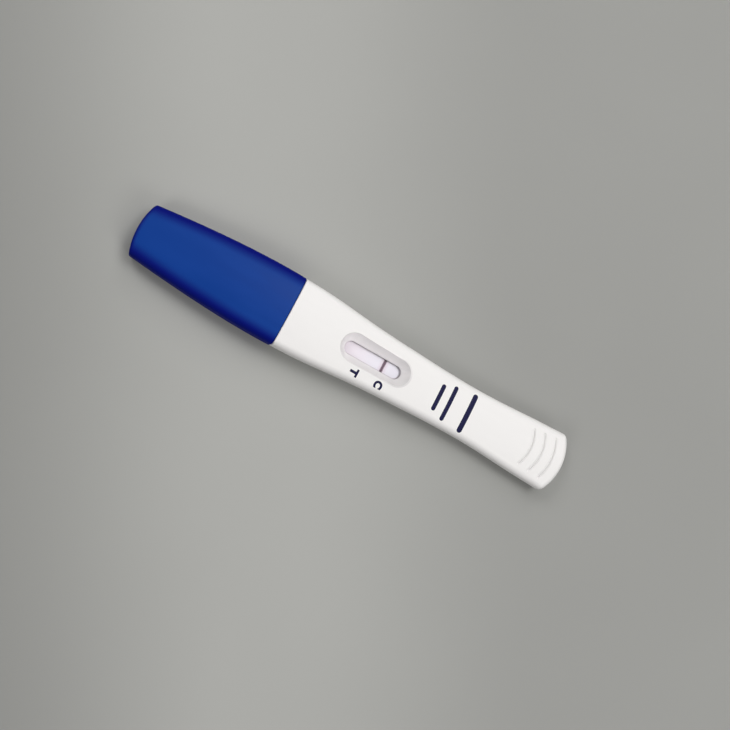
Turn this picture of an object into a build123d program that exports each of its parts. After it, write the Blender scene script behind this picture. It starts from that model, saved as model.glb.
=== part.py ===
from build123d import *
import os
from math import sqrt

# Lateral flow test stick with its cap on, lying on its back. Sizes in millimetres.
# While it is modelled, X is measured from the tip of the cap towards the thumb end,
# Y is across and Z is up from the surface that it lies on.

# Plan: full width of the closed stick at its stations
length = 140.0
tip_width = 14.9
cap_middle_x = 18.0
cap_middle_width = 18.6
shoulder_x = 40.0
shoulder_width = 20.8
flank_x = 54.0
flank_width = 20.2
slot_x = 73.45
window_width = 17.3
waist_from_end = 36.0
waist_width = 15.35
flare_from_end = 18.0
flare_width = 16.9
thumb_width = 19.1

# Side view: height of the ridge at its stations, and the rounding across and along
tip_height = 7.0
cap_middle_height = 8.4
shoulder_height = 9.2
window_height = 8.2
waist_height = 7.1
thumb_height = 6.6
crown_radius = 60.0
top_edge_radius = 2.0
bottom_edge_radius = 2.8
inner_edge_radius = 0.4
underside_cut = 0.1
tip_arc_radius = 22.0
tip_edge_radius = 0.8
thumb_arc_radius = 17.0
thumb_edge_radius = 1.6

# Where the cap meets the casing
joint_x = 45.7
joint_gap = 0.12
joint_edge_radius = 0.3

# Cap and the neck that it is pushed onto
cap_wall = 1.2
cap_end_wall = 1.8
neck_length = 14.0
neck_clearance = 0.35
neck_wall = 1.1
neck_lead_in = 0.6
neck_lead_length = 1.2
cap_rib_width = 0.8
cap_rib_length = 9.0
cap_rib_spacing = 9.0
cap_rib_fit = 0.05
nose_length = 4.5
nose_wall = 1.1
nose_edge_radius = 0.35

# Casing shells
parting_height = 4.0
shell_wall = 1.5
seam_depth = 0.12
seam_width = 0.2
lip_wall = 0.7
lip_depth = 0.8
lip_clearance = 0.06
pin_diameter = 1.6
pin_length = 1.9
pin_clearance = 0.05
boss_diameter = 3.0
rear_pin_x = 57.5
rear_pin_spread = 14.6
waist_pin_from_slot = 18.5
waist_pin_spread = 10.6
flare_pin_from_end = 30.0
flare_pin_spread = 10.4
thumb_pin_from_end = 11.0
thumb_pin_spread = 12.4

# Window: straight slot below, funnel-shaped bezel above
slot_length = 18.5
slot_width = 4.05
bezel_depth = 3.3
bezel_margin = 2.4
bezel_shift = 0.4
well_wall = 1.8
well_gap = 0.35

# Thumb grooves
groove_count = 3
groove_first_from_end = 12.1
groove_pitch = 3.8
groove_half_span = 5.5
groove_span_growth = 0.4
groove_sagitta = 1.35
groove_radius = 0.55
groove_depth = 0.32

# Wick
wick_front_x = 12.0
wick_tail_x = 58.4
wick_width = 9.0
wick_thickness = 2.2
wick_front_radius = 3.2
wick_bottom = 3.1
wick_clearance = 0.15

# Test strip: a card with the pads laid along it, each lapped over the next
strip_width = 4.0
strip_bottom = 3.7
card_start_x = 55.0
card_end_from_end = 25.0
card_thickness = 0.3
sample_pad_length = 4.0
sample_pad_thickness = 0.4
sample_lap = 2.0
conjugate_pad_thickness = 0.3
conjugate_lap = 1.3
membrane_start_x = 62.0
membrane_length = 25.0
membrane_thickness = 0.15
absorbent_lap = 1.6
absorbent_pad_thickness = 0.8

# Ribs that hold the wick and the strip
rib_wall = 1.0
rail_clearance = 0.15
wick_rib_pitch = 6.0
strip_rib_pitch = 11.0
press_bar_count = 3

# How the forms are made: distance between sections, and how far a cutter or a form runs on
section_spacing = 10.0
reach = 30.0
run_on = 3.0

# Values that follow from the ones above
waist_x = length - waist_from_end
flare_x = length - flare_from_end
card_end_x = length - card_end_from_end
card_length = card_end_x - card_start_x
card_top = strip_bottom + card_thickness
membrane_end_x = membrane_start_x + membrane_length
membrane_top = card_top + membrane_thickness
conjugate_start_x = card_start_x + sample_pad_length - sample_lap
conjugate_end_x = membrane_start_x + conjugate_lap
conjugate_top = card_top + conjugate_pad_thickness
sample_end_x = card_start_x + sample_pad_length
absorbent_start_x = membrane_end_x - absorbent_lap
wick_top = wick_bottom + wick_thickness
wick_step_x = card_start_x - 2 * wick_clearance
wick_tail_bottom = conjugate_top + sample_pad_thickness
neck_inset = cap_wall + neck_clearance
neck_front_x = joint_x - neck_length
nose_front_x = neck_front_x - nose_length
slot_start_x = slot_x - slot_length / 2


def smooth(x, stations):
    """Height of a smooth line through the stations at x, level where it peaks at the shoulder."""
    slopes = []
    for i, (at, value) in enumerate(stations):
        before, after = stations[max(i - 1, 0)], stations[min(i + 1, len(stations) - 1)]
        level = at == shoulder_x
        slopes.append(0 if level else (after[1] - before[1]) / (after[0] - before[0]))
    i = max(k for k in range(len(stations) - 1) if k == 0 or stations[k][0] <= x)
    (x0, y0), (x1, y1) = stations[i], stations[i + 1]
    span, t = x1 - x0, (x - x0) / (x1 - x0)
    return (
        y0 * (1 - t) ** 2 * (1 + 2 * t) + y1 * t**2 * (3 - 2 * t)
        + span * slopes[i] * t * (1 - t) ** 2 - span * slopes[i + 1] * t**2 * (1 - t)
    )


def half_width(x):
    """Half the width of the closed stick at x."""
    return smooth(x, [
        (0, tip_width),
        (cap_middle_x, cap_middle_width),
        (shoulder_x, shoulder_width),
        (flank_x, flank_width),
        (slot_x, window_width),
        (waist_x, waist_width),
        (flare_x, flare_width),
        (length, thumb_width),
    ]) / 2


def ridge_height(x):
    """Height of the top of the closed stick at x, on its middle line."""
    return smooth(x, [
        (0, tip_height),
        (cap_middle_x, cap_middle_height),
        (shoulder_x, shoulder_height),
        (slot_x, window_height),
        (waist_x, waist_height),
        (length, thumb_height),
    ])


def cross_section(x, half, top, inset):
    """Rounded section across the stick at x: flat below, crowned above."""
    half, top, bottom = half - inset, top - inset, inset - underside_cut
    side_top = top - crown_radius + sqrt(crown_radius**2 - half**2)
    outline = make_face([
        Polyline((-half, side_top), (-half, bottom), (half, bottom), (half, side_top)),
        ThreePointArc((half, side_top), (0, top), (-half, side_top)),
    ])
    corners = outline.vertices().sort_by(Axis.Y)
    outline = fillet(corners[2:], max(top_edge_radius - inset, inner_edge_radius))
    outline = fillet(outline.vertices().sort_by(Axis.Y)[:2], max(bottom_edge_radius - inset, inner_edge_radius))
    return Plane(origin=(x, 0, 0), x_dir=(0, 1, 0), z_dir=(1, 0, 0)) * outline


def tube(start, finish, inset, level_from=length):
    """Length of the stick's form, drawn in by inset, with one section from level_from on."""
    count = max(2, round((finish - start) / section_spacing) + 1)
    step = (finish - start) / (count - 1)
    sections = []
    for i in range(count):
        x = start + step * i
        formed = min(x, level_from)
        sections.append(cross_section(x, half_width(formed), ridge_height(formed), inset))
    return flat_below(loft(sections), inset)


def flat_below(form, inset):
    """Cut the underside to a true flat."""
    return form - block((-reach, length + reach), (-reach, reach), (-reach, inset))


def block(x_range, y_range, z_range):
    """Plain box between given limits."""
    low, high = zip(x_range, y_range, z_range)
    size = [b - a for a, b in zip(low, high)]
    return Pos(*low) * Box(*size, align=(Align.MIN, Align.MIN, Align.MIN))


def outside_tip(inset):
    """What lies beyond the arc of the tip."""
    front = block((-reach, tip_arc_radius), (-reach, reach), (-reach, reach))
    return front - Pos(tip_arc_radius, 0, 0) * Cylinder(tip_arc_radius - inset, 3 * reach)


def outside_thumb(inset):
    """What lies beyond the arc of the thumb end."""
    centre = length - thumb_arc_radius
    rear = block((centre, length + reach), (-reach, reach), (-reach, reach))
    return rear - Pos(centre, 0, 0) * Cylinder(thumb_arc_radius - inset, 3 * reach)


def cap_side(inset):
    """Everything on the cap's side of the joint, moved towards the thumb end by inset."""
    return block((-reach, joint_x + inset), (-reach, reach), (-reach, reach))


def casing_form(inset):
    """The casing behind the joint, drawn in by inset all round."""
    form = tube(joint_x - run_on, length, inset)
    return form - cap_side(joint_gap + inset) - outside_thumb(inset)


def neck_form(inset, front=neck_front_x):
    """The neck that the cap is pushed onto, drawn in by inset inside the cap's own form."""
    return tube(front, joint_x + shell_wall + joint_gap, inset, shoulder_x)


def neck_lead():
    """Tapered front of the neck that lets the cap find its way on."""
    rear_x = neck_front_x + neck_lead_length
    stations = [(neck_front_x, neck_inset + neck_lead_in), (rear_x, neck_inset)]
    lead = loft([cross_section(x, half_width(x), ridge_height(x), inset) for x, inset in stations])
    return flat_below(lead, neck_inset)


def make_cap():
    """Hollow push-on cap with friction ribs inside."""
    cap = tube(0, joint_x + run_on, 0) & cap_side(0)
    cap -= outside_tip(0)
    cap = fillet(cap.faces().sort_by(Axis.X)[0].edges(), tip_edge_radius)
    cap = fillet(cap.faces().sort_by(Axis.X)[-1].edges(), joint_edge_radius)
    cavity = tube(0, joint_x + run_on, cap_wall, shoulder_x) - outside_tip(cap_end_wall)
    return cap - cavity + cap_ribs()


def cap_ribs():
    """Four ribs along the inside of the cap that grip the neck above and below."""
    middle = (neck_front_x + joint_x) / 2
    ends = (middle - cap_rib_length / 2, middle + cap_rib_length / 2)
    ring = tube(*ends, cap_wall / 2, shoulder_x) - tube(*ends, neck_inset - cap_rib_fit, shoulder_x)
    ribs = Part()
    for side in (-1, 1):
        centre = side * cap_rib_spacing / 2
        y_range = (centre - cap_rib_width / 2, centre + cap_rib_width / 2)
        ribs += ring & block(ends, y_range, (0, reach))
    return ribs


def make_casing():
    """Both shells in one, before they are parted: body, neck and nose, hollowed out."""
    body = casing_form(0)
    body = fillet(body.faces().sort_by(Axis.X)[-1].edges(), thumb_edge_radius)
    joint_face = body.faces().sort_by(lambda face: face.center().X)[0]
    body = fillet(joint_face.edges(), joint_edge_radius)
    neck = neck_lead() + neck_form(neck_inset, neck_front_x + neck_lead_length)
    return body + neck + make_nose() - casing_form(shell_wall) - neck_hollow() - wick_way()


def neck_hollow():
    """Inside of the neck, open towards the casing."""
    hollow = neck_form(neck_inset + neck_wall)
    return hollow - block((0, neck_front_x + neck_wall), (-reach, reach), (0, reach))


def make_nose():
    """Snout that guides the wick out of the neck."""
    half = wick_width / 2 + wick_clearance + nose_wall
    low, high = wick_bottom - wick_clearance - nose_wall, wick_top + wick_clearance + nose_wall
    nose = block((nose_front_x, neck_front_x + neck_wall), (-half, half), (low, high))
    nose = fillet(nose.edges().filter_by(Axis.X), nose_wall)
    return fillet(nose.faces().sort_by(Axis.X)[0].edges(), nose_edge_radius)


def wick_way():
    """Passage for the wick through the nose."""
    half = wick_width / 2 + wick_clearance
    heights = (wick_bottom - wick_clearance, wick_top + wick_clearance)
    return block((0, neck_front_x + 2 * neck_wall), (-half, half), heights)


def seam():
    """Fine groove round the casing where the two shells meet."""
    band = block(
        (joint_x - reach, length + reach),
        (-reach, reach),
        (parting_height - seam_width / 2, parting_height + seam_width / 2),
    )
    return band - casing_form(seam_depth) - cap_side(joint_gap + seam_depth)


def lip(drawn_in, depth):
    """Ring inside the casing's wall, just under the parting plane."""
    slab = block((0, length), (-reach, reach), (parting_height - depth, parting_height))
    return (casing_form(drawn_in) - casing_form(shell_wall)) & slab


def pin_places():
    """Centres of the four pairs of pins that press the shells together."""
    pairs = [
        (rear_pin_x, rear_pin_spread),
        (slot_x + waist_pin_from_slot, waist_pin_spread),
        (length - flare_pin_from_end, flare_pin_spread),
        (length - thumb_pin_from_end, thumb_pin_spread),
    ]
    return [(x, side * spread / 2) for x, spread in pairs for side in (-1, 1)]


def post(x, y, diameter, low, high):
    """Upright round post."""
    low_end = (Align.CENTER, Align.CENTER, Align.MIN)
    return Pos(x, y, low) * Cylinder(diameter / 2, high - low, align=low_end)


def across(x, width, low, high):
    """Rib across the casing, one rib wall thick."""
    return block((x - rib_wall / 2, x + rib_wall / 2), (-width / 2, width / 2), (low, high))


def rails(x_range, held_width):
    """Pair of rails along both sides of what they hold, up to the parting plane."""
    inner = held_width / 2 + rail_clearance
    pair = Part()
    for y_range in ((inner, inner + rib_wall), (-inner - rib_wall, -inner)):
        pair += block(x_range, y_range, (0, parting_height))
    return pair


def wick_rib_xs():
    """Places of the ribs above and below the wick."""
    first = neck_front_x + neck_wall + rib_wall
    count = int((wick_step_x - first) / wick_rib_pitch) + 1
    return [first + wick_rib_pitch * i for i in range(count)]


def within_walls():
    """Space that inner ribs may reach into, up to the middle of the walls."""
    return casing_form(shell_wall / 2) + neck_form(neck_inset + neck_wall / 2)


def make_upper_shell(casing):
    """Upper shell: roof, window well, press bars, pins and thumb grooves."""
    shell = casing & block((0, length), (-reach, reach), (parting_height, reach))
    inner = Part()
    for x, y in pin_places():
        inner += post(x, y, boss_diameter, parting_height, reach)
    for x in wick_rib_xs():
        inner += across(x, wick_width, wick_top, reach)
    inner += across((wick_step_x + wick_tail_x) / 2, wick_width, wick_top, reach)
    inner += across(
        (wick_tail_x + conjugate_end_x) / 2, strip_width, conjugate_top, reach)
    press_bar_pitch = (card_end_x - membrane_end_x) / press_bar_count
    for i in range(press_bar_count):
        x = membrane_end_x + press_bar_pitch * (i + 0.5)
        inner += across(x, strip_width, card_top + absorbent_pad_thickness, reach)
    inner += well()
    shell += inner & within_walls()
    shell += lip(shell_wall - lip_wall, lip_depth) - neck_form(neck_inset + neck_wall)
    for x, y in pin_places():
        shell += post(x, y, pin_diameter, parting_height - pin_length, parting_height + rib_wall)
    shell -= window_cut()
    for groove in thumb_grooves():
        shell -= groove
    return shell


def well():
    """Wall round the window that reaches down to just above the membrane."""
    outline = SlotOverall(slot_length + 2 * well_wall, slot_width + 2 * well_wall)
    return Pos(slot_x, 0, membrane_top + well_gap) * extrude(outline, amount=reach)


def window_cut():
    """Straight slot over the membrane and the sloping bezel above it."""
    slot = SlotOverall(slot_length, slot_width)
    throat_height = ridge_height(slot_start_x) - bezel_depth
    straight = Pos(slot_x, 0, 0) * extrude(slot, amount=throat_height)
    rise = bezel_depth + run_on
    margin = bezel_margin * rise / bezel_depth
    brim = SlotOverall(slot_length + 2 * margin, slot_width + 2 * margin)
    funnel = loft([
        Pos(slot_x, 0, throat_height) * slot,
        Pos(slot_x + bezel_shift * rise / bezel_depth, 0, throat_height + rise) * brim,
    ])
    return straight + funnel


def thumb_grooves():
    """Cutters for the curved grooves that the thumb rests on."""
    cutters = []
    lift = groove_radius - groove_depth
    for i in range(groove_count):
        apex = length - groove_first_from_end + groove_pitch * i
        span = groove_half_span + groove_span_growth * i
        end_x = apex - groove_sagitta
        fall = crown_radius - sqrt(crown_radius**2 - span**2)
        end_height = ridge_height(end_x) - fall + lift
        path = ThreePointArc(
            (end_x, -span, end_height),
            (apex, 0, ridge_height(apex) + lift),
            (end_x, span, end_height),
        )
        section = Plane(origin=path @ 0, z_dir=path % 0) * Circle(groove_radius)
        cutter = sweep(section, path=path)
        for end in (path @ 0, path @ 1):
            cutter += Pos(*end) * Sphere(groove_radius)
        cutters.append(cutter)
    return cutters


def make_lower_shell(casing):
    """Lower shell: floor, rails and ribs for the wick and the strip, pin sockets."""
    shell = casing & block((0, length), (-reach, reach), (0, parting_height))
    inner = Part()
    for x, y in pin_places():
        inner += post(x, y, boss_diameter, 0, parting_height)
    for x in wick_rib_xs():
        inner += across(x, wick_width, 0, wick_bottom)
    inner += rails((neck_front_x + neck_wall, wick_step_x), wick_width)
    inner += rails((card_start_x, card_end_x), strip_width)
    strip_rib_count = int(card_length / strip_rib_pitch) + 1
    for i in range(strip_rib_count):
        inner += across(card_start_x + rib_wall + strip_rib_pitch * i, strip_width, 0, strip_bottom)
    stop_width = strip_width + 2 * (rail_clearance + rib_wall)
    stop_x = card_end_x + rail_clearance + rib_wall / 2
    inner += across(stop_x, stop_width, 0, parting_height)
    shell += inner & within_walls()
    rebate_inset = shell_wall - lip_wall - lip_clearance
    shell -= lip(rebate_inset, lip_depth + lip_clearance)
    hole_depth = pin_length + 2 * pin_clearance
    for x, y in pin_places():
        hole_diameter = pin_diameter + 2 * pin_clearance
        shell -= post(x, y, hole_diameter, parting_height - hole_depth, parting_height)
    return shell


def make_wick():
    """Fibre wick with a rounded front and a pressed tail that lies on the sample pad."""
    half = wick_width / 2
    wick = block((wick_front_x, wick_tail_x), (-half, half), (wick_bottom, wick_top))
    front_corners = wick.edges().filter_by(Axis.Z).sort_by(Axis.X)[:2]
    wick = fillet(front_corners, wick_front_radius)
    return wick - block((wick_step_x, length), (-reach, reach), (0, wick_tail_bottom))


def lapped_pad(start, finish, thickness, step_x, step_height, rises_at_end):
    """Pad on the card with one end lapped over its neighbour."""
    on_card = (start, step_x) if rises_at_end else (step_x, finish)
    on_neighbour = (step_x, finish) if rises_at_end else (start, step_x)
    half = strip_width / 2
    low = block(on_card, (-half, half), (card_top, card_top + thickness))
    raised_top = card_top + step_height + thickness
    high = block(on_neighbour, (-half, half), (card_top + step_height, raised_top))
    return low + high + lap_knee(step_x, thickness, step_height, rises_at_end)


def lap_knee(step_x, thickness, step_height, rises_at_end):
    """Short bridge that keeps the two levels of a lapped pad one piece."""
    half, side = strip_width / 2, -1 if rises_at_end else 1
    xs = sorted((step_x, step_x + side * thickness))
    return block(xs, (-half, half), (card_top, card_top + step_height + thickness))


def make_strip():
    """The card and everything that is laid on it."""
    half = strip_width / 2
    return {
        "backing_card": block((card_start_x, card_end_x), (-half, half), (strip_bottom, card_top)),
        "membrane": block((membrane_start_x, membrane_end_x), (-half, half), (card_top, membrane_top)),
        "conjugate_pad": lapped_pad(
            conjugate_start_x, conjugate_end_x, conjugate_pad_thickness,
            membrane_start_x, membrane_thickness, True),
        "sample_pad": lapped_pad(
            card_start_x, sample_end_x, sample_pad_thickness,
            conjugate_start_x, conjugate_pad_thickness, True),
        "absorbent_pad": lapped_pad(
            absorbent_start_x, card_end_x, absorbent_pad_thickness,
            membrane_end_x, membrane_thickness, False),
    }


def main():
    """Write one file for each piece, with the stick centred on its own origin."""
    casing = make_casing() - seam()
    pieces = {
        "cap": make_cap(),
        "upper_shell": make_upper_shell(casing),
        "lower_shell": make_lower_shell(casing),
        "sample_wick": make_wick(),
        **make_strip(),
    }
    os.makedirs("parts", exist_ok=True)
    for name, piece in pieces.items():
        export_step(Pos(-length / 2, 0, 0) * piece, f"parts/{name}.step")


main()
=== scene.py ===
import bpy
from math import cos, pi, radians, sin
from mathutils import Matrix, Vector


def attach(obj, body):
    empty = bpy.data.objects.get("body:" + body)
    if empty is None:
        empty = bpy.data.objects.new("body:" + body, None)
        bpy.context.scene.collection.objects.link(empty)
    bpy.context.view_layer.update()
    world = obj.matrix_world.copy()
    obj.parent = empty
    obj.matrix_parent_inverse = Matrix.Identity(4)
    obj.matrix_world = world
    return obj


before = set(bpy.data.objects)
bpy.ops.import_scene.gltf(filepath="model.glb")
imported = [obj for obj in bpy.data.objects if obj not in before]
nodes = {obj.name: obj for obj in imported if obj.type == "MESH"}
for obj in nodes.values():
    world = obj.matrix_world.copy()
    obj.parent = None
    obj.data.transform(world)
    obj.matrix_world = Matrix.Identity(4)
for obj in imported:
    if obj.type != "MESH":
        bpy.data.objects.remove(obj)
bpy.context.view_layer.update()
scene = bpy.context.scene
mm = 0.001

# Places, in metres: along the stick from its middle, across it from its middle line
length = 140.0 * mm
tip_arc_radius = 22.0 * mm
slot_x = 3.45 * mm
slot_half_run = 7.225 * mm
bezel_x = slot_x + 0.4 * mm
bezel_edge = (4.15 * mm, 4.35 * mm)
control_line_x = 7.12 * mm

# Half width of the cap: tip_half_width + along * (cap_flare - cap_flare_loss * along),
# with along counted from its tip; the turns say how far inside the outline its back begins, where
# the painted shade on its sides and tip fades out
tip_half_width = 7.45 * mm
cap_flare = 0.134
cap_flare_loss = 1.4
cap_side_turn = (1.0 * mm, 4.2 * mm)
cap_tip_turn = (-0.1 * mm, 1.4 * mm)

# Thumb grooves, the first one nearest the window
groove_count = 3
groove_first_from_end = 12.1 * mm
groove_pitch = 3.8 * mm
groove_half_span = 5.5 * mm
groove_span_growth = 0.4 * mm
groove_sagitta = 1.35 * mm
groove_flank_shift = 0.14 * mm
groove_line_edge = (0.08 * mm, 0.28 * mm)
groove_end_fade = (-0.5 * mm, 0.4 * mm)
groove_shade_strength = 0.72

# Painted shade on the slope round the window: its paleness, from the darker to the paler of its
# greys. It grows from the near to the far side; the slot's cap end adds to it, its thumb end takes
# from it
bezel_across = (-2.6 * mm, 2.0 * mm)
bezel_side_paleness = (0.28, 0.87)
bezel_cap_run = (slot_x - 9.0 * mm, slot_x - 4.5 * mm)
bezel_cap_gain = 0.26
bezel_thumb_run = (slot_x + 5.0 * mm, slot_x + 9.5 * mm)
bezel_thumb_loss = 0.5

# Colours of the membrane: its ground, the control line with painted shade at its ends, the blush
# beside the line, painted shadow in the rim under the slot's edge, and in the crescent at the
# thumb end of the slot
ground_run = (slot_x - 9.0 * mm, slot_x + 3.0 * mm)
line_edge = (0.25 * mm, 0.62 * mm)
line_raggedness = 0.35 * mm
line_end_edge = (1.2 * mm, 2.0 * mm)
blush_edge = (0.4 * mm, 1.7 * mm)
blush_strength = 0.30
rim_edge = (1.55 * mm, 1.90 * mm)
rim_across = (-1.0 * mm, 1.0 * mm)
rim_side_strength = (0.7, 0.3)
crescent_x = slot_x + 6.85 * mm
crescent_y = -0.2 * mm
crescent_edge = (1.80 * mm, 1.98 * mm)
crescent_fade = 0.8 * mm
crescent_strength = 0.3

# Camera: right, up and back directions, place, and focal length in pixels of the 730 px frame
camera_right = Vector((0.84788, 0.45638, 0.26983))
camera_up = Vector((-0.47905, 0.87754, 0.02106))
camera_back = Vector((-0.22718, -0.14712, 0.96268))
camera_place = Vector((-0.055683, -0.039730, 0.249744))
focal_pixels = 900.0
frame_pixels = 730.0
sensor_width = 36.0
clip_start = 0.01

# Lights: square softboxes on a dome over the stick, with azimuth from +X and tilt from +Z
# in degrees, and power in watts
dome_radius = 1.3
softbox_size = 0.55
softboxes = (
    ("high_rear_softbox", 15, 25, 2.3),
    ("high_side_softbox", 60, 25, 5.8),
    ("low_side_softbox", 95, 50, 3.0),
    ("low_front_softbox", 150, 50, 5.6),
    ("near_front_softbox", 240, 50, 3.95),
    ("near_rear_softbox", 330, 50, 3.70),
)
light_colour = (1.0, 0.99, 0.975)
world_fill = 0.01
world_glow = 0.34

# Floor: its painted shades run along the level direction of the frame, floor_turn from +X. Near
# the stick painted shade darkens it to both sides, and far away a painted glow keeps it pale
floor_size = 6.0
floor_turn = radians(28.6)
cap_side_run = (-0.118, -0.035)
cap_side_darkness = 0.36
thumb_side_run = (-0.019, 0.057)
thumb_side_darkness = 0.20
near_run = (0.16, 0.40)
far_darkness = 0.12
glow_run = (0.35, 2.4)

# Colours, linear; where there are two, the surface drifts or fades from one to the other
black = (0.0, 0.0, 0.0)
cap_back_blues = ((0.0050, 0.043, 0.256), (0.0060, 0.047, 0.273))
# The cap's side blue is painted shade on its sides and near its tip
cap_side_shade_blue = (0.0, 0.004, 0.155)
casing_whites = ((0.832, 0.822, 0.820), (0.848, 0.838, 0.836))
# The bezel greys are painted shade on the slope round the window
bezel_shade_greys = ((0.70, 0.685, 0.69), (0.93, 0.905, 0.92))
# The groove grey is painted shade on the rear flanks of the thumb grooves
groove_flank_shade_grey = (0.48, 0.47, 0.47)
wick_whites = ((0.84, 0.83, 0.79), (0.90, 0.89, 0.86))
sample_whites = ((0.82, 0.81, 0.76), (0.88, 0.87, 0.82))
conjugate_pinks = ((0.66, 0.38, 0.44), (0.76, 0.50, 0.55))
absorbent_whites = ((0.84, 0.84, 0.81), (0.90, 0.90, 0.87))
fibre_shade = (0.45, 0.43, 0.40)
card_whites = ((0.80, 0.80, 0.80), (0.86, 0.86, 0.86))
membrane_lilacs = ((0.838, 0.776, 0.845), (0.785, 0.769, 0.842))
line_maroon_and_end_shade = ((0.135, 0.080, 0.115), (0.040, 0.022, 0.036))
blush_pink = (0.60, 0.40, 0.50)
# The rim shade and crescent shade are painted shadow on the membrane
rim_shade = (0.40, 0.34, 0.37)
crescent_shade = (0.05, 0.045, 0.05)
ink_navies = ((0.006, 0.006, 0.040), (0.010, 0.010, 0.055))
board_greys = ((0.368, 0.371, 0.358), (0.402, 0.406, 0.391))
glow_grey = (0.30, 0.30, 0.29)

# Most values of a noise lie in these spans, so ramps over it run between them
noise_span = (0.3, 0.7)
flow_span = (0.25, 0.75)
strand_hollow_span = (0.3, 0.55)
board_tone_span = (0.2, 0.65)

# Roughness, from the low to the high end of each surface's noise
cap_roughness = (0.36, 0.42)
cap_side_roughness = 0.24
casing_roughness = (0.46, 0.54)
fibre_roughness = (0.85, 0.98)
card_roughness = (0.3, 0.4)
membrane_roughness = (0.62, 0.75)
ink_roughness = (0.48, 0.58)
board_roughness = (0.7, 0.85)

# Textures stretched along the stick
flow_stretch = (0.25, 1.0, 1.0)
fibre_stretch = (0.18, 1.0, 1.0)
fibre_hollow_strength = 0.25
blotches_per_strand = 1 / 8
grain_share = 0.35
cloud_share = 0.5

# Printed films, laid on the upper shell from above
film_lift = 0.015 * mm
film_thickness = 0.03 * mm
film_start_height = 12.0 * mm
film_cut_spacing = 0.3 * mm
film_sliver = 0.02 * mm
letter_boldness = 0.06
letter_curve_steps = 6
bar_corner_share = 0.48
bar_corner_steps = 6

# Print: letters and plain bars, with their range along the stick and their range across it
letters = (
    ("test_mark", "T", (-1.75 * mm, 0.75 * mm), (-7.25 * mm, -4.85 * mm)),
    ("control_mark", "C", (6.1 * mm, 8.75 * mm), (-7.0 * mm, -4.70 * mm)),
)
bars = (
    ("print_bar_1", (34.5 * mm, 36.1 * mm), (-6.4 * mm, 5.9 * mm)),
    ("print_bar_2", (28.2 * mm, 29.5 * mm), (-5.9 * mm, 5.1 * mm)),
    ("print_bar_3", (24.5 * mm, 25.8 * mm), (-4.5 * mm, 3.8 * mm)),
)


# Shader helpers


def add_node(tree, kind, **values):
    """New node with its sockets set by name."""
    made = tree.nodes.new(kind)
    for socket, value in values.items():
        made.inputs[socket.replace("_", " ")].default_value = value
    return made


def maths(tree, operation, first, second=None):
    made = tree.nodes.new("ShaderNodeMath")
    made.operation = operation
    for socket, value in zip(made.inputs, (first, second)):
        if value is None:
            continue
        if isinstance(value, (int, float)):
            socket.default_value = value
        else:
            tree.links.new(value, socket)
    return made.outputs["Value"]


def plus(tree, first, second):
    return maths(tree, "ADD", first, second)


def minus(tree, first, second):
    return maths(tree, "SUBTRACT", first, second)


def times(tree, first, second):
    return maths(tree, "MULTIPLY", first, second)


def absolute(tree, value):
    return maths(tree, "ABSOLUTE", value)


def hypotenuse(tree, x, y):
    return maths(tree, "SQRT", plus(tree, times(tree, x, x), times(tree, y, y)))


def ramp(tree, value, low, high, to_low=0.0, to_high=1.0):
    """Smooth step from to_low to to_high while the value goes from low to high."""
    made = add_node(
        tree, "ShaderNodeMapRange", From_Min=low, From_Max=high, To_Min=to_low, To_Max=to_high)
    made.interpolation_type = "SMOOTHSTEP"
    tree.links.new(value, made.inputs["Value"])
    return made.outputs["Result"]


def noise(tree, vector, scale, detail=2.0, roughness=0.5):
    """Noise of about scale features per metre."""
    made = add_node(tree, "ShaderNodeTexNoise", Scale=scale, Detail=detail, Roughness=roughness)
    tree.links.new(vector, made.inputs["Vector"])
    return made.outputs["Fac"]


def mix_colour(tree, fraction, first, second):
    """Colour between two, each a linear colour or a socket."""
    made = tree.nodes.new("ShaderNodeMix")
    made.data_type = "RGBA"
    sockets = {socket.identifier: socket for socket in (*made.inputs, *made.outputs)}
    tree.links.new(fraction, sockets["Factor_Float"])
    for socket, value in ((sockets["A_Color"], first), (sockets["B_Color"], second)):
        if isinstance(value, tuple):
            socket.default_value = (*value, 1)
        else:
            tree.links.new(value, socket)
    return sockets["Result_Color"]


def drift(tree, value, tones):
    """Colour that drifts between two tones with a noise."""
    return mix_colour(tree, ramp(tree, value, *noise_span), *tones)


def bump(tree, height, depth, strength):
    made = add_node(tree, "ShaderNodeBump", Strength=strength, Distance=depth)
    tree.links.new(height, made.inputs["Height"])
    return made.outputs["Normal"]


def place_of(tree):
    """Object coordinates, in metres."""
    return tree.nodes.new("ShaderNodeTexCoord").outputs["Object"]


def mapped(tree, vector, **values):
    made = add_node(tree, "ShaderNodeMapping", **values)
    tree.links.new(vector, made.inputs["Vector"])
    return made.outputs["Vector"]


def axes_of(tree, vector):
    """X and Y of a vector."""
    made = tree.nodes.new("ShaderNodeSeparateXYZ")
    tree.links.new(vector, made.inputs["Vector"])
    return made.outputs["X"], made.outputs["Y"]


def new_material(name):
    material = bpy.data.materials.new(name)
    material.use_nodes = True
    tree = material.node_tree
    return material, tree, tree.nodes["Principled BSDF"]


def finish_surface(tree, shader, colour, roughness, normal):
    tree.links.new(colour, shader.inputs["Base Color"])
    tree.links.new(roughness, shader.inputs["Roughness"])
    tree.links.new(normal, shader.inputs["Normal"])


# Cap and casing


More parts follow.
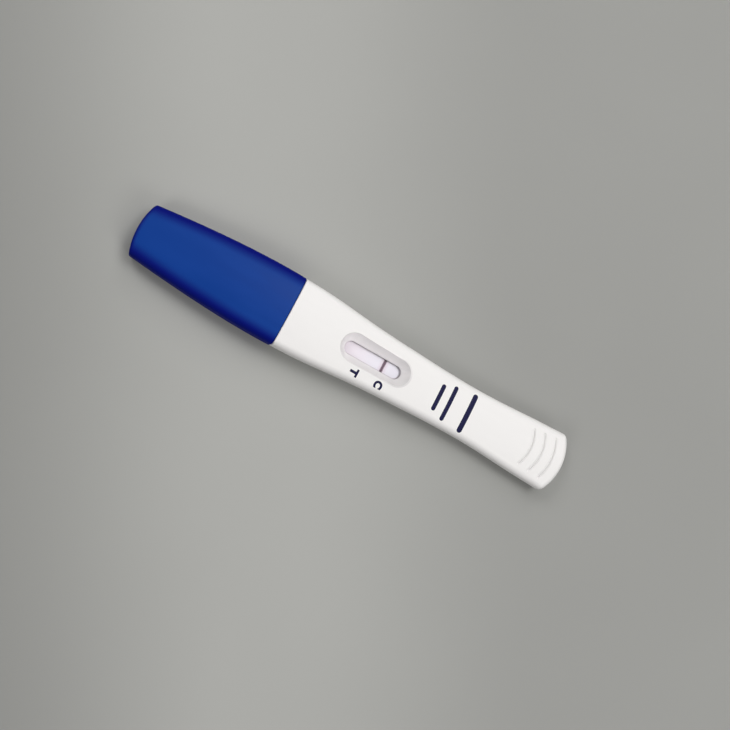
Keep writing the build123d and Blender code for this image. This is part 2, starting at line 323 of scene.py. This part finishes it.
def moulding_group():
    """Fine spark-eroded grain and faint flow marks of a moulded plastic surface."""
    group = bpy.data.node_groups.new("moulding_grain", "ShaderNodeTree")
    group.interface.new_socket("Grain Scale", in_out="INPUT", socket_type="NodeSocketFloat")
    group.interface.new_socket("Height", in_out="OUTPUT", socket_type="NodeSocketFloat")
    group.interface.new_socket("Flow", in_out="OUTPUT", socket_type="NodeSocketFloat")
    entry = group.nodes.new("NodeGroupInput")
    leave = group.nodes.new("NodeGroupOutput")
    place = place_of(group)
    grain = add_node(group, "ShaderNodeTexNoise", Detail=3.0, Roughness=0.6)
    group.links.new(place, grain.inputs["Vector"])
    group.links.new(entry.outputs["Grain Scale"], grain.inputs["Scale"])
    flow = noise(group, mapped(group, place, Scale=flow_stretch), scale=220.0, detail=3.0)
    group.links.new(grain.outputs["Fac"], leave.inputs["Height"])
    group.links.new(flow, leave.inputs["Flow"])
    return group


def moulded(tree, group, grain_scale):
    """Height of the grain, and the flow marks, from the moulding group."""
    made = tree.nodes.new("ShaderNodeGroup")
    made.node_tree = group
    made.inputs["Grain Scale"].default_value = grain_scale
    return made.outputs["Height"], made.outputs["Flow"]


def slot_distance(tree, x, y, centre_x):
    """Distance from the middle line of the slot, which joins the centres of its round ends."""
    beyond = minus(tree, absolute(tree, minus(tree, x, centre_x)), slot_half_run)
    return hypotenuse(tree, maths(tree, "MAXIMUM", beyond, 0.0), y)


def cap_back_mask(tree):
    """1 on the cap's back, falling to 0 where the cap turns down at its sides and its tip and
    painted shade takes over.
    """
    x, y = axes_of(tree, place_of(tree))
    along = plus(tree, x, length / 2)
    flare = minus(tree, cap_flare, times(tree, along, cap_flare_loss))
    half_width = plus(tree, times(tree, flare, along), tip_half_width)
    from_side = minus(tree, half_width, absolute(tree, y))
    tip_bow = times(tree, times(tree, y, y), 0.5 / tip_arc_radius)
    from_tip = minus(tree, along, tip_bow)
    return times(tree, ramp(tree, from_side, *cap_side_turn), ramp(tree, from_tip, *cap_tip_turn))


def cap_plastic(group):
    """Satin royal blue polypropylene, with painted shade: a deeper blue where it turns down at
    sides and tip.
    """
    material, tree, shader = new_material("cap_plastic")
    height, flow = moulded(tree, group, grain_scale=5200.0)
    back = cap_back_mask(tree)
    colour = mix_colour(tree, back, cap_side_shade_blue, drift(tree, flow, cap_back_blues))
    added = times(tree, minus(tree, 1.0, back), cap_side_roughness)
    roughness = plus(tree, ramp(tree, flow, *flow_span, *cap_roughness), added)
    normal = bump(tree, height, depth=0.02 * mm, strength=0.35)
    finish_surface(tree, shader, colour, roughness, normal)
    shader.inputs["IOR"].default_value = 1.49
    shader.inputs["Specular IOR Level"].default_value = 0.07
    return material


def groove_shade(tree, x, y):
    """Painted shade, grey on the rear flank of each thumb groove."""
    total = None
    for i in range(groove_count):
        span = groove_half_span + groove_span_growth * i
        apex = length / 2 - groove_first_from_end + groove_pitch * i
        bow = times(tree, times(tree, y, y), groove_sagitta / span ** 2)
        across = minus(tree, plus(tree, x, bow), apex + groove_flank_shift)
        line = ramp(tree, absolute(tree, across), *groove_line_edge, groove_shade_strength, 0.0)
        end_run = (span + fade for fade in groove_end_fade)
        shade = times(tree, line, ramp(tree, absolute(tree, y), *end_run, 1.0, 0.0))
        total = shade if total is None else maths(tree, "MAXIMUM", total, shade)
    return total


def bezel_paleness(tree, x, y):
    """Where between its two greys of painted shade the slope round the window is."""
    side = ramp(tree, y, *bezel_across, *bezel_side_paleness)
    cap_end = ramp(tree, x, *bezel_cap_run, bezel_cap_gain, 0.0)
    thumb_end = ramp(tree, x, *bezel_thumb_run, 0.0, -bezel_thumb_loss)
    return plus(tree, side, plus(tree, cap_end, thumb_end))


def casing_plastic(group):
    """Satin white polystyrene, greyer on the slope round the window with painted shade, darker on
    its near side and at its thumb end.
    """
    material, tree, shader = new_material("casing_plastic")
    height, flow = moulded(tree, group, grain_scale=4200.0)
    x, y = axes_of(tree, place_of(tree))
    bezel = ramp(tree, slot_distance(tree, x, y, bezel_x), *bezel_edge, 1.0, 0.0)
    grey = mix_colour(tree, bezel_paleness(tree, x, y), *bezel_shade_greys)
    sloped = mix_colour(tree, bezel, drift(tree, flow, casing_whites), grey)
    colour = mix_colour(tree, groove_shade(tree, x, y), sloped, groove_flank_shade_grey)
    roughness = ramp(tree, flow, *flow_span, *casing_roughness)
    normal = bump(tree, height, depth=0.02 * mm, strength=0.25)
    finish_surface(tree, shader, colour, roughness, normal)
    shader.inputs["IOR"].default_value = 1.55
    shader.inputs["Specular IOR Level"].default_value = 0.30
    return material


# Wick and test strip


def fibre(name, tones, scale, depth):
    """Bonded fibre felt, laid mostly along the stick."""
    material, tree, shader = new_material(name)
    laid = mapped(tree, place_of(tree), Scale=fibre_stretch)
    strands = noise(tree, laid, scale, detail=5.0, roughness=0.65)
    blotches = noise(tree, place_of(tree), scale * blotches_per_strand)
    # Hollows between strands darken towards fibre_shade: painted shade
    hollows = ramp(tree, strands, *strand_hollow_span, fibre_hollow_strength, 0.0)
    colour = mix_colour(tree, hollows, drift(tree, blotches, tones), fibre_shade)
    roughness = ramp(tree, strands, *noise_span, *fibre_roughness)
    finish_surface(tree, shader, colour, roughness, bump(tree, strands, depth, strength=0.8))
    return material


def card_plastic():
    """Smooth white backing card."""
    material, tree, shader = new_material("card_plastic")
    wave = noise(tree, place_of(tree), scale=900.0)
    colour = mix_colour(tree, wave, *card_whites)
    roughness = ramp(tree, wave, *noise_span, *card_roughness)
    normal = bump(tree, wave, depth=0.01 * mm, strength=0.3)
    finish_surface(tree, shader, colour, roughness, normal)
    return material


def line_distance(tree, place, x):
    """Distance from the control line, a little ragged."""
    wander = minus(tree, noise(tree, place, scale=2600.0, detail=3.0), 0.5)
    ragged = times(tree, wander, line_raggedness)
    return absolute(tree, plus(tree, minus(tree, x, control_line_x), ragged))


def membrane_film():
    """Smooth white membrane with a faint lilac cast, one dark maroon control line, and painted
    shadow under the slot's edge.
    """
    material, tree, shader = new_material("membrane_film")
    place = place_of(tree)
    x, y = axes_of(tree, place)
    ground = mix_colour(tree, ramp(tree, x, *ground_run), *membrane_lilacs)

    distance = line_distance(tree, place, x)
    blush = ramp(tree, distance, *blush_edge, blush_strength, 0.0)
    blushed = mix_colour(tree, blush, ground, blush_pink)
    # The line darkens towards its ends: painted shade beside the slot's walls
    maroon = mix_colour(tree, ramp(tree, absolute(tree, y), *line_end_edge), *line_maroon_and_end_shade)
    lined = mix_colour(tree, ramp(tree, distance, *line_edge, 1.0, 0.0), blushed, maroon)

    # Painted shadow in a rim under the slot's edge, stronger on its near side
    under_edge = ramp(tree, slot_distance(tree, x, y, slot_x), *rim_edge)
    rim = times(tree, under_edge, ramp(tree, y, *rim_across, *rim_side_strength))
    rimmed = mix_colour(tree, rim, lined, rim_shade)

    # Painted shadow in a crescent at the thumb end of the slot
    end_x, end_y = minus(tree, x, crescent_x), minus(tree, y, crescent_y)
    outside = ramp(tree, hypotenuse(tree, end_x, end_y), *crescent_edge)
    past = ramp(tree, end_x, 0.0, crescent_fade, 0.0, crescent_strength)
    colour = mix_colour(tree, times(tree, outside, past), rimmed, crescent_shade)

    grain = noise(tree, place, scale=9000.0, detail=3.0)
    roughness = ramp(tree, grain, *noise_span, *membrane_roughness)
    normal = bump(tree, grain, depth=0.01 * mm, strength=0.4)
    finish_surface(tree, shader, colour, roughness, normal)
    return material


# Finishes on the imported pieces


def paint(node, material):
    data = nodes[node].data
    data.materials.clear()
    data.materials.append(material)


def paint_pieces():
    group = moulding_group()
    casing = casing_plastic(group)
    paint("cap", cap_plastic(group))
    paint("upper_shell", casing)
    paint("lower_shell", casing)
    paint("sample_wick", fibre("wick_fibre", wick_whites, 5200.0, 0.06 * mm))
    paint("backing_card", card_plastic())
    paint("sample_pad", fibre("sample_fibre", sample_whites, 7800.0, 0.03 * mm))
    paint("conjugate_pad", fibre("conjugate_fibre", conjugate_pinks, 7800.0, 0.03 * mm))
    paint("membrane", membrane_film())
    paint("absorbent_pad", fibre("absorbent_paper", absorbent_whites, 6400.0, 0.04 * mm))


# Print on the upper shell, in thin films that follow its crown


def ink_material():
    """Navy pad-printing ink, a little uneven."""
    material, tree, shader = new_material("navy_ink")
    cover = noise(tree, place_of(tree), scale=2400.0, detail=3.0)
    colour = drift(tree, cover, ink_navies)
    roughness = ramp(tree, cover, *noise_span, *ink_roughness)
    normal = bump(tree, cover, depth=0.008 * mm, strength=0.4)
    finish_surface(tree, shader, colour, roughness, normal)
    shader.inputs["Specular IOR Level"].default_value = 0.12
    return material


def cut_into_grid(film):
    """Cut a flat film along and across, finely enough to follow the crown of the shell."""
    bpy.ops.object.mode_set(mode="EDIT")
    for axis in range(2):
        places = [v.co[axis] for v in film.data.vertices]
        low, high = min(places), max(places)
        count = int((high - low) / film_cut_spacing) + 1
        normal = [0, 0, 0]
        normal[axis] = 1
        for i in range(1, count):
            point = [0, 0, film_start_height]
            point[axis] = low + (high - low) * i / count
            bpy.ops.mesh.select_all(action="SELECT")
            bpy.ops.mesh.bisect(plane_co=point, plane_no=normal)
    bpy.ops.mesh.select_all(action="SELECT")
    bpy.ops.mesh.remove_doubles(threshold=film_sliver)
    bpy.ops.object.mode_set(mode="OBJECT")


def lay_on_shell(film, name, material):
    """Drop a flat film onto the upper shell, give it its thickness and its finish."""
    film.name = name
    bpy.ops.object.select_all(action="DESELECT")
    film.select_set(True)
    bpy.context.view_layer.objects.active = film
    bpy.ops.object.transform_apply(location=True, rotation=True, scale=True)
    cut_into_grid(film)
    wrap = film.modifiers.new("drop", "SHRINKWRAP")
    wrap.target = nodes["upper_shell"]
    wrap.wrap_method = "PROJECT"
    wrap.use_project_z = True
    wrap.use_negative_direction = True
    wrap.use_positive_direction = False
    wrap.offset = film_lift
    bpy.ops.object.modifier_apply(modifier="drop")
    wall = film.modifiers.new("thickness", "SOLIDIFY")
    wall.thickness = film_thickness
    wall.offset = -1.0
    bpy.ops.object.modifier_apply(modifier="thickness")
    film.data.materials.clear()
    film.data.materials.append(material)
    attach(film, "stick")


def add_bar(name, x_range, y_range, material):
    """Plain printed bar with rounded ends."""
    bpy.ops.object.select_all(action="DESELECT")
    centre = (sum(x_range) / 2, sum(y_range) / 2, film_start_height)
    width, run = x_range[1] - x_range[0], y_range[1] - y_range[0]
    bpy.ops.mesh.primitive_plane_add(size=1.0, location=centre)
    bar = bpy.context.object
    bar.scale = (width, run, 1.0)
    bpy.ops.object.transform_apply(location=False, rotation=False, scale=True)
    bpy.ops.object.mode_set(mode="EDIT")
    bpy.ops.mesh.select_all(action="SELECT")
    bpy.ops.mesh.bevel(
        affect="VERTICES", offset=width * bar_corner_share, segments=bar_corner_steps, profile=0.5)
    bpy.ops.object.mode_set(mode="OBJECT")
    lay_on_shell(bar, name, material)


def add_letter(name, letter, x_range, y_range, material):
    """Single function letter, its head towards the thumb end."""
    bpy.ops.object.select_all(action="DESELECT")
    bpy.ops.object.text_add(location=(0, 0, 0))
    mark = bpy.context.object
    mark.data.body = letter
    mark.data.offset = letter_boldness
    mark.data.resolution_u = letter_curve_steps
    bpy.ops.object.convert(target="MESH")
    mark = bpy.context.object
    mark.data.transform(Matrix.Rotation(-pi / 2, 4, "Z"))
    low = [min(v.co[i] for v in mark.data.vertices) for i in range(2)]
    high = [max(v.co[i] for v in mark.data.vertices) for i in range(2)]
    factors = [(r[1] - r[0]) / (b - a) for r, a, b in zip((x_range, y_range), low, high)]
    mark.data.transform(Matrix.Translation((-low[0], -low[1], 0)))
    mark.data.transform(Matrix.Diagonal((factors[0], factors[1], 1, 1)))
    mark.location = (x_range[0], y_range[0], film_start_height)
    lay_on_shell(mark, name, material)


def add_print():
    ink = ink_material()
    for name, letter, x_range, y_range in letters:
        add_letter(name, letter, x_range, y_range, ink)
    for name, x_range, y_range in bars:
        add_bar(name, x_range, y_range, ink)


# Camera, lights and floor


def set_camera():
    camera = bpy.data.cameras.new("camera")
    camera.sensor_width = sensor_width
    camera.lens = focal_pixels / frame_pixels * sensor_width
    camera.clip_start = clip_start
    holder = bpy.data.objects.new("camera", camera)
    scene.collection.objects.link(holder)
    turn = Matrix((camera_right, camera_up, camera_back)).transposed()
    holder.matrix_world = Matrix.Translation(camera_place) @ turn.to_4x4()
    scene.camera = holder


def set_world():
    """World that hardly lights anything, but looks pale wherever it is seen or mirrored."""
    world = bpy.data.worlds.new("studio")
    scene.world = world
    world.use_nodes = True
    tree = world.node_tree
    background = tree.nodes["Background"]
    background.inputs["Color"].default_value = (*light_colour, 1)
    path = tree.nodes.new("ShaderNodeLightPath")
    seen = maths(tree, "MAXIMUM", path.outputs["Is Camera Ray"], path.outputs["Is Glossy Ray"])
    seen = maths(tree, "MAXIMUM", seen, path.outputs["Is Transmission Ray"])
    strength = ramp(tree, seen, 0.0, 1.0, world_fill, world_glow)
    tree.links.new(strength, background.inputs["Strength"])


def add_softbox(name, azimuth, tilt, watts):
    """Softbox on the dome, facing the middle of the stick."""
    lamp = bpy.data.lights.new(name, "AREA")
    lamp.shape = "SQUARE"
    lamp.size = softbox_size
    lamp.energy = watts
    lamp.color = light_colour
    holder = bpy.data.objects.new(name, lamp)
    scene.collection.objects.link(holder)
    around, down = radians(azimuth), radians(tilt)
    direction = Vector((sin(down) * cos(around), sin(down) * sin(around), cos(down)))
    holder.location = dome_radius * direction
    holder.rotation_euler = direction.to_track_quat("Z", "Y").to_euler()


def floor_darkness(tree, place, distance):
    """Share of black, painted shade: to both sides near the stick, and a little all over further
    away.
    """
    level, _ = axes_of(tree, mapped(tree, place, Rotation=(0, 0, -floor_turn)))
    cap_side = ramp(tree, level, *cap_side_run, cap_side_darkness, 0.0)
    thumb_side = ramp(tree, level, *thumb_side_run, 0.0, thumb_side_darkness)
    nearness = ramp(tree, distance, *near_run, 1.0, 0.0)
    near = times(tree, plus(tree, cap_side, thumb_side), nearness)
    return plus(tree, near, ramp(tree, distance, *near_run, 0.0, far_darkness))


def floor_material():
    """Plain grey board with a fine grain, painted shade towards both sides and a painted glow that
    keeps it pale far away.
    """
    material, tree, shader = new_material("grey_board")
    place = place_of(tree)
    reach = tree.nodes.new("ShaderNodeVectorMath")
    reach.operation = "LENGTH"
    tree.links.new(place, reach.inputs["Vector"])
    distance = reach.outputs["Value"]

    grain = noise(tree, place, scale=2600.0, detail=4.0, roughness=0.7)
    cloud = noise(tree, place, scale=9.0)
    tone = plus(tree, times(tree, grain, grain_share), times(tree, cloud, cloud_share))
    board = mix_colour(tree, ramp(tree, tone, *board_tone_span), *board_greys)
    colour = mix_colour(tree, floor_darkness(tree, place, distance), board, black)
    roughness = ramp(tree, grain, *noise_span, *board_roughness)
    normal = bump(tree, grain, depth=0.04 * mm, strength=0.35)
    finish_surface(tree, shader, colour, roughness, normal)

    # Painted glow: far away the floor shines pale to the camera
    seen = tree.nodes.new("ShaderNodeLightPath").outputs["Is Camera Ray"]
    glow = mix_colour(tree, times(tree, ramp(tree, distance, *glow_run), seen), black, glow_grey)
    tree.links.new(glow, shader.inputs["Emission Color"])
    shader.inputs["Emission Strength"].default_value = 1.0
    return material


def add_floor():
    bpy.ops.object.select_all(action="DESELECT")
    bpy.ops.mesh.primitive_plane_add(size=floor_size, location=(0, 0, 0))
    floor = bpy.context.object
    floor.name = "floor"
    floor.data.materials.append(floor_material())


paint_pieces()
add_print()

set_camera()
set_world()
for softbox in softboxes:
    add_softbox(*softbox)
add_floor()

scene.view_settings.view_transform = "Standard"
